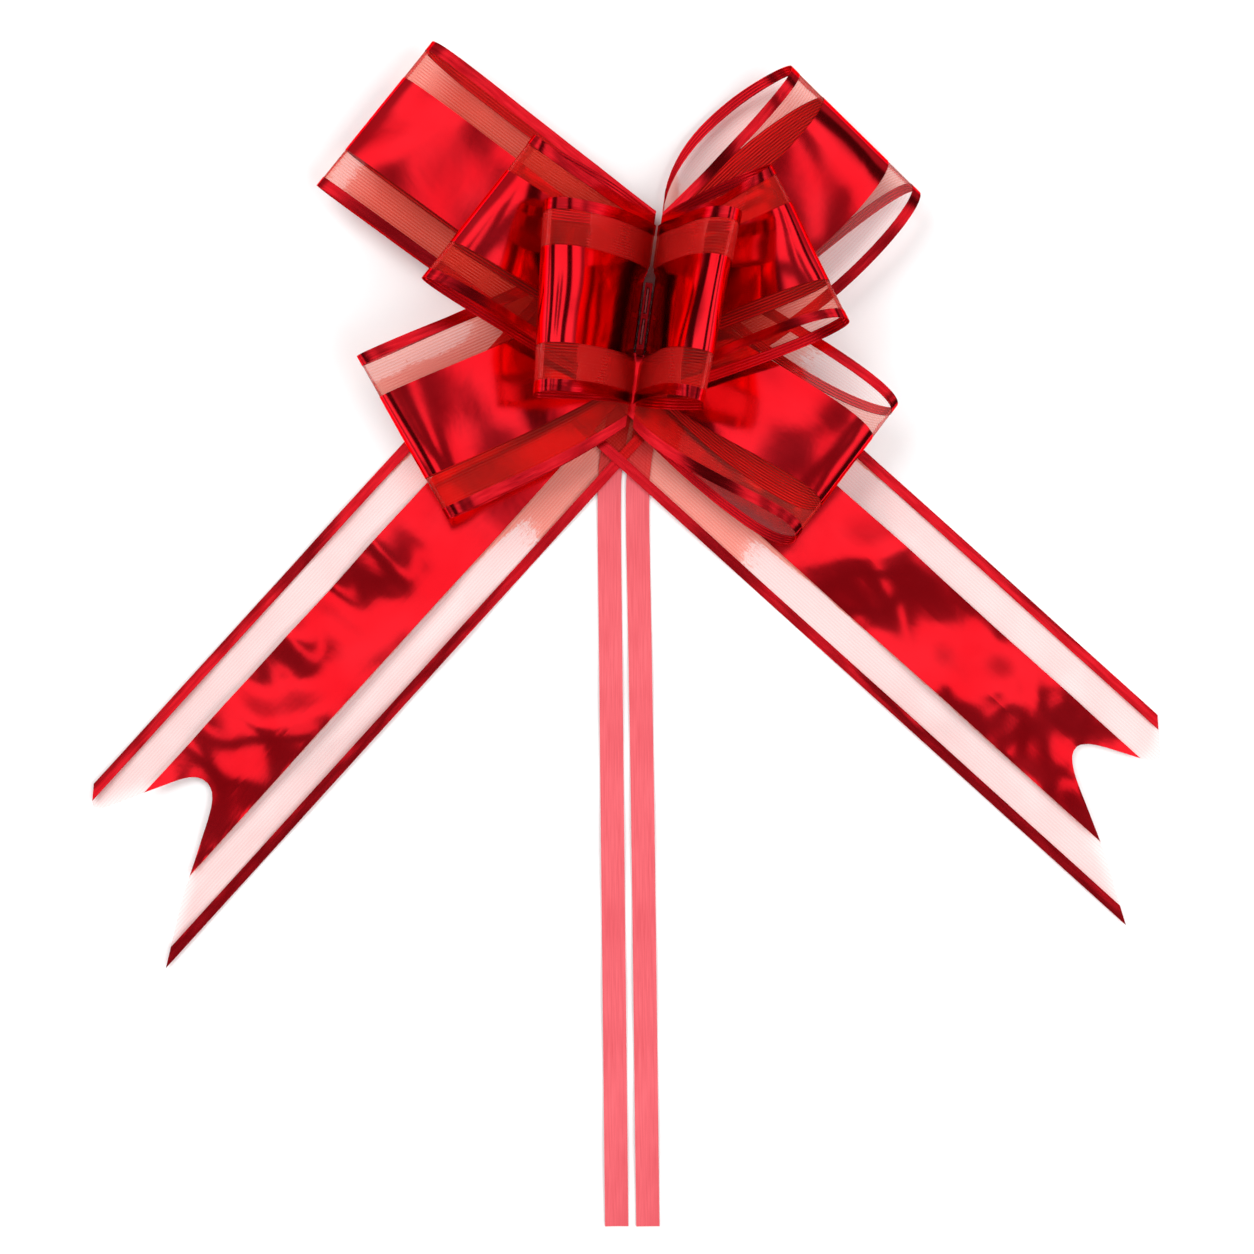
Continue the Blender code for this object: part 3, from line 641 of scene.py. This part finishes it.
def clear_of_seam(loop, grid, alongs, lines):
    """Moves the film's roots out beside the seams, over the seams' length."""
    place = loop["root"][0] * (1 - lines) + loop["root"][1] * lines
    reach = 1 - smooth(np.minimum(alongs, 2 - alongs) / BESIDE_SHARE)
    step = np.full(len(alongs), ROOT_BESIDE - ROOT_BEYOND)
    if loop["tier"] == 1:
        step[alongs <= 1] = FIRST_BESIDE - FIRST_BEYOND
    beside = fall(np.abs(place), BESIDE_REACH, BESIDE_BLEND)[None, :] * (reach * step)[:, None]
    return grid + ACROSS_SEAM * loop["side"] * beside[:, :, None]


def waves(coords, seed, height, wavelength):
    """Soft crinkles over the ribbon: a fixed sum of slanted waves for each piece."""
    draw = np.random.default_rng(seed)
    total = np.zeros(coords.shape[:2])
    for _ in range(WAVE_COUNT):
        angle = draw.uniform(0, math.pi)
        length = wavelength * draw.uniform(0.6, 1.9)
        phase = draw.uniform(0, 2 * math.pi)
        along = coords[..., 0] * math.cos(angle) + coords[..., 1] * math.sin(angle)
        total += np.sin(along * 2 * math.pi / length + phase) * length / wavelength
    return total * height / WAVE_COUNT


def painted_glare_share(label, alongs, lines):
    """How much painted glare the clear bands get over a loop, which makes them nearly colourless: mostly
    the slack bands next to the table.
    """
    front, back = (alongs <= FOLD_END)[:, None], (alongs > FOLD_END)[:, None]
    upper, lower = (lines < 0.5)[None, :], (lines >= 0.5)[None, :]
    along = alongs[:, None]
    if label == "upper_right":
        slack = back * upper * fall(along, 1.92, 0.22) * 1.05
        return slack + front * lower * rise(along, 0.24, 0.22) * 1.05
    if label == "lower_right":
        slack = front * upper * rise(along, 0.30, 0.45) * 0.95
        return slack + back * lower * fall(along, 1.90, 0.22) * 0.95
    if label == "lower_left":
        ragged = 0.90 - 0.80 * rise(lines[None, :], 0.08, 0.17)
        return front * upper * ragged * rise(along, 0.36, 0.20)
    if label == "upper_left":
        ragged = 0.75 - 0.5 * rise(along, 0.80, 0.2)
        return front * lower * ragged * rise(along, 0.66, 0.22) * fall(along, 0.98, 0.05)
    return np.zeros((len(alongs), len(lines)))


def add_loop(label, number, made, lines, lane_of):
    loop = LOOPS[label]
    grid, alongs = loop_grid(loop, lines)
    coords = measured(grid, lines)
    grid = clear_of_seam(loop, grid, alongs, lines)
    window = smooth(np.abs(alongs - 1) / LOOP_CALM) * smooth(np.minimum(alongs, 2 - alongs) / LOOP_CALM)
    height = waves(coords, LOOP_SEED + number, *LOOP_WAVES) * window[:, None]
    grid = grid + grid_normals(grid, -loop["side"]) * height[:, :, None]
    normals = grid_normals(grid, -loop["side"])
    # painted glare on the loop's clear bands
    pale = painted_glare_share(label, alongs, lines) * np.ones(grid.shape[:2])
    pieces = ribbon_pieces(label, f"film_{label}", grid, normals, coords, lane_of, {"pale": pale}, made)
    tier, side = label.split("_")
    for piece in pieces.values():
        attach(piece, f"{tier}_loop_{side}")
    register(pieces, {"film": [f"loop_{label}"], "foil": [f"foil_{label}"],
                      "upper": [f"upper_edge_{label}"], "lower": [f"lower_edge_{label}"]})


# --- tails ----------------------------------------------------------------------------------------------

def along_at(profile, across):
    """How far along the tail an outline of (across, along) pairs is, at each place across it."""
    a, s = zip(*profile)
    return np.interp(across, a, s)


def rounded_cut(profile, across):
    """The cut with its corners rounded off, except at the ribbon's edges."""
    reach = np.minimum(CUT_ROUNDING, np.minimum(across, RIBBON_WIDTH - across))
    shifts = np.linspace(-1, 1, CUT_SAMPLES)
    return np.mean([along_at(profile, across + reach * k) for k in shifts], axis=0)


def tail_lines(tail, lines, lane_of):
    """The ribbon's grid lines with one more at each corner of the cut, and each column's lane."""
    extra = [a / RIBBON_WIDTH for a, _ in tail["root"] + tail["cut"] if 0 < a < RIBBON_WIDTH]
    merged = list(lines)
    for v in extra:
        k = int(np.argmin(np.abs(np.array(merged) - v)))
        if abs(merged[k] - v) > LINE_GAP:
            merged.append(v)
            merged.sort()
    owner = [lane_of[int(np.clip(np.searchsorted(lines, (a + b) / 2) - 1, 0, len(lane_of) - 1))]
             for a, b in zip(merged, merged[1:])]
    return np.array(merged), owner


def tail_frame(tail):
    """The directions along the tail, away from the bow, and across it."""
    heading = np.array((math.cos(tail["heading"]), math.sin(tail["heading"]), 0.0))
    sideways = np.array((-heading[1], heading[0], 0.0)) * (-tail["side"])
    return heading, sideways


def tail_place(tail, along, across):
    """Points of the flat tail: at the root's height first, and down on the table further out."""
    heading, sideways = tail_frame(tail)
    height = tail["root_height"] * (1 - rise(along, TAIL_DROP_START, TAIL_DROP_END - TAIL_DROP_START))
    plan = np.array((*tail["corner"], 0.0)) + heading * along[..., None] + sideways * across[..., None]
    plan[..., 2] += height
    return plan


def add_tail(label, number, made, lines, lane_of):
    tail = TAILS[label]
    lines, lane_of = tail_lines(tail, lines, lane_of)
    across = lines * RIBBON_WIDTH
    start, end = along_at(tail["root"], across), rounded_cut(tail["cut"], across)
    hinge = np.full_like(across, tail["hinge"])
    near = np.linspace(0, 1, TAIL_ROOT_STEPS + 1)[:, None]
    far = np.linspace(0, 1, TAIL_END_STEPS + 1)[1:, None]
    along = np.concatenate([start + (hinge - start) * near, hinge + (end - hinge) * far])
    wide = np.broadcast_to(across, along.shape)
    grid = tail_place(tail, along, wide)
    coords = np.stack([along, wide], axis=2)
    height = sum(waves(coords, seed + number, *wave) for seed, *wave in TAIL_WAVES)
    height = (height - height.min()) * smooth(along / TAIL_WAVES_FADE)
    inner = smooth(np.minimum(wide, RIBBON_WIDTH - wide) / TAIL_EDGE_CALM)
    grid = grid + UP * (height * (TAIL_EDGE_SHARE + (1 - TAIL_EDGE_SHARE) * inner))[:, :, None]
    normals = grid_normals(grid, -tail["side"])
    if normals[..., 2].mean() < 0:
        normals = -normals
    # painted glare makes the film nearly colourless past the root; a salmon band beside the foil's lower
    # edge is painted reflection and shadow, and the film is salmon beside the upper stripe too
    pale = rise(along, -0.026, 0.05) * 1.25
    pale -= 0.85 * fall(wide, 0.0393, 0.0016) * (wide > RIBBON_WIDTH / 2)
    pale -= 0.60 * fall(wide, 0.0040, 0.0010)
    pieces = ribbon_pieces(f"tail_{label}", f"film_tail_{label}", grid, normals, coords, lane_of,
                           {"pale": pale}, made)
    middle = tail_place(tail, np.array([tail["hinge"]]), np.array([RIBBON_WIDTH / 2]))[0]
    for piece in pieces.values():
        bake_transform(piece)
    prefixes = {"film": "", "foil": "foil_", "upper": "upper_edge_", "lower": "lower_edge_"}
    register(pieces, {lane: [f"{prefix}tail_root_{label}", f"{prefix}tail_{label}"]
                      for lane, prefix in prefixes.items()})


# --- strings --------------------------------------------------------------------------------------------

def smooth_route(points, steps):
    """A smooth curve through the points, as one more point than it has steps."""
    knots = [np.array((*p, 0.0)) for p in points]
    knots = [knots[0] * 2 - knots[1]] + knots + [knots[-1] * 2 - knots[-2]]
    spans = len(knots) - 3
    route = []
    for k in range(steps + 1):
        position = k / steps * spans
        span = min(int(position), spans - 1)
        t = position - span
        p0, p1, p2, p3 = knots[span:span + 4]
        route.append(0.5 * (2 * p1 + (p2 - p0) * t + (2 * p0 - 5 * p1 + 4 * p2 - p3) * t * t
                            + (3 * p1 - p0 - 3 * p2 + p3) * t ** 3))
    return np.array(route)


def add_string(label, number, material):
    route = smooth_route(STRING_ROUTES[label], STRING_STEPS)
    ahead = unit(np.gradient(route, axis=0))
    sideways = np.stack([-ahead[:, 1], ahead[:, 0], np.zeros(len(route))], axis=1)
    steps = run_length(route)
    height, length = STRING_WAVE
    lift = height * (1 + np.sin(steps * 2 * math.pi / length + number))
    lift = lift * rise(steps, STRING_FLAT, STRING_WAVE_FADE)
    route = route + UP * STRING_BASE + UP * lift[:, None]
    columns = np.linspace(-0.5, 0.5, STRING_COLUMNS + 1)
    cup = STRING_CUP * (2 * columns) ** 2
    grid = route[:, None, :] + sideways[:, None, :] * (columns * STRING_WIDTH)[None, :, None]
    grid = grid + UP * cup[None, :, None]
    normals = np.zeros_like(grid)
    normals[..., 2] = 1.0
    coords = np.stack(np.broadcast_arrays(steps[:, None], (columns + 0.5)[None, :] * STRING_WIDTH), axis=2)
    piece = add_shell(f"string_{label}", grid, normals, 0.0, STRING_THICKNESS, coords, {},
                      [0] * STRING_COLUMNS, [material])
    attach(piece, f"string_{label}")
    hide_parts(f"pull_string_{label}")


# --- stage ----------------------------------------------------------------------------------------------

def add_camera():
    data = bpy.data.cameras.new("camera")
    data.lens = CAMERA_LENS
    data.sensor_width = CAMERA_SENSOR
    camera = bpy.data.objects.new("camera", data)
    camera.location = CAMERA_PLACE
    bpy.context.scene.collection.objects.link(camera)
    bpy.context.scene.camera = camera


def add_floor():
    half = FLOOR_SIZE / 2
    mesh = bpy.data.meshes.new("table")
    corners = [(-half, -half), (half, -half), (half, half), (-half, half)]
    mesh.from_pydata([(*corner, FLOOR_HEIGHT) for corner in corners], [], [(0, 1, 2, 3)])
    mesh.materials.append(floor_material())
    floor = bpy.data.objects.new("table", mesh)
    bpy.context.scene.collection.objects.link(floor)


def add_light(name, place, power):
    """A soft light on the bow that the foil doesn't mirror; what it mirrors is the world."""
    data = bpy.data.lights.new(name, "AREA")
    data.shape = "RECTANGLE"
    data.size = data.size_y = LIGHT_SIZE
    data.energy = power
    light = bpy.data.objects.new(name, data)
    light.location = place
    light.visible_glossy = False
    light.rotation_euler = (Vector(LIGHT_TARGET) - Vector(place)).to_track_quat("-Z", "Y").to_euler()
    bpy.context.scene.collection.objects.link(light)


def add_world():
    """What the foil mirrors: light all round, with dark gaps. The camera itself sees it plain."""
    world = bpy.data.worlds.new("studio")
    bpy.context.scene.world = world
    g = Graph(world)
    x, y, z = g.parts(g.place("Generated"))
    aside = g.math("ADD", g.math("MULTIPLY", x, 0.96), g.math("MULTIPLY", y, 0.28))
    aside = g.math("ADD", aside, 0.03)
    away = g.math("ABSOLUTE", aside)
    # a gap on both sides of the overhead light
    gap = g.gate(away, (0.50, 0.57), (0.82, 0.76))
    # two narrow gaps in the overhead light itself, and one across it
    left = g.gate(aside, (-0.29, -0.24), (-0.02, -0.06))
    right = g.gate(aside, (0.05, 0.09), (0.28, 0.23))
    inner = g.math("MULTIPLY", g.math("MAXIMUM", left, right), g.spread(y, 0.13, 0.07))
    ends = g.gate(y, (-0.10, -0.14), (-0.32, -0.26))
    soft = g.math("MULTIPLY", g.math("MAXIMUM", inner, ends), 0.86)
    # towards the strings' end, towards the upper loops' end, and a band just over the horizon
    far_end = g.gate(y, (-0.48, -0.54), (-0.80, -0.70))
    behind = g.spread(y, 0.28, 0.44, 0.0, 0.70)
    low = g.math("MULTIPLY", g.gate(z, (0.30, 0.16), (0.02, 0.10)), 0.8)
    dark = gap
    for part in (soft, far_end, behind, low):
        dark = g.math("MAXIMUM", dark, part)
    strength = g.spread(dark, 0.0, 1.0, WORLD_LIGHT, WORLD_DARK, kind="LINEAR")
    seen = g.node("ShaderNodeLightPath").outputs["Is Camera Ray"]
    strength = g.spread(seen, 0.0, 1.0, strength, WORLD_SEEN, kind="LINEAR")
    background = g.node("ShaderNodeBackground", {"Color": WHITE, "Strength": strength})
    g.finish(background.outputs[0], "ShaderNodeOutputWorld")


def make_stage():
    add_camera()
    add_floor()
    add_world()
    for name, (place, power) in LIGHTS.items():
        add_light(name, place, power)
    scene = bpy.context.scene
    scene.view_settings.view_transform = "Standard"
    scene.cycles.transparent_max_bounces = FILM_LAYERS_SEEN


def main():
    make_stage()
    made = {
        "film": film_material(),
        "foil": foil_material(),
        "stripe": stripe_material(),
        "foil_back": backed_material("foil_reverse", FOIL_REVERSE, roughness=0.30, metallic=0.40),
        "stripe_back": backed_material("stripe_reverse", STRIPE_REVERSE, roughness=0.22, metallic=0.95),
    }
    strings = string_material()
    for number, label in enumerate(("left", "right")):
        add_string(label, number, strings)
    lines, lane_of = ribbon_lines()
    for number, label in enumerate(LOOPS):
        add_loop(label, number, made, lines, lane_of)
    for number, label in enumerate(TAILS):
        add_tail(label, number, made, lines, lane_of)
    seam, core = seam_material(), core_material()
    for number in range(1, SEAM_COUNT + 1):
        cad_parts[f"seam_{number}"].data.materials[0] = seam
    for label in ("left", "right"):
        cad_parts[f"string_core_{label}"].data.materials[0] = core


main()
